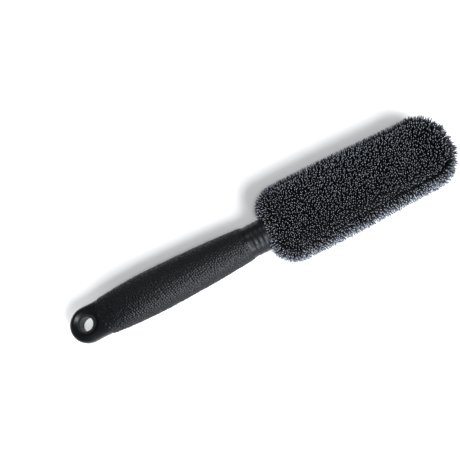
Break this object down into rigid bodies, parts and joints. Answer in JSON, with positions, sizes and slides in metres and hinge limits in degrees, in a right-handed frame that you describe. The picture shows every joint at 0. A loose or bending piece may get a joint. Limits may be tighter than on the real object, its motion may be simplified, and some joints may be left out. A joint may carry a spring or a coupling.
{
  "type": "wheel brush",
  "caption": "Flat microfibre wheel brush with a padded, tufted head on a straight handle with a soft textured grip and a hanging hole.",
  "frame": {"origin": "under the middle of the brush, on the surface that its head lies on", "axes": "+X along the handle towards the head's tip, +Z out of the head's upper flat face, +Y across the head"},
  "size_m": [0.345, 0.0668, 0.04],
  "materials": {
    "core_plastic": "satin",
    "grip_rubber": "matte",
    "collar_plastic": "satin",
    "blade_plastic": "satin",
    "pin_steel": "satin",
    "foam": "matte",
    "backing_knit": "matte",
    "pile": "matte",
    "thread": "matte",
    "binding": "matte",
    "elastic": "matte"
  },
  "bodies": {
    "root": {"handle_core": "core_plastic", "grip": "grip_rubber", "neck_collar": "collar_plastic", "tang_pins": "pin_steel", "blade": "blade_plastic", "foam_front": "foam", "foam_back": "foam", "panel_front": "backing_knit", "panel_back": "backing_knit", "panel_side": "backing_knit", "panel_neck": "backing_knit", "pile_front": "pile", "pile_back": "pile", "pile_side": "pile", "pile_neck": "pile", "seam_thread_front": "thread", "seam_thread_back": "thread", "hem_binding": "binding", "hem_elastic": "elastic"}
  },
  "joints": []
}
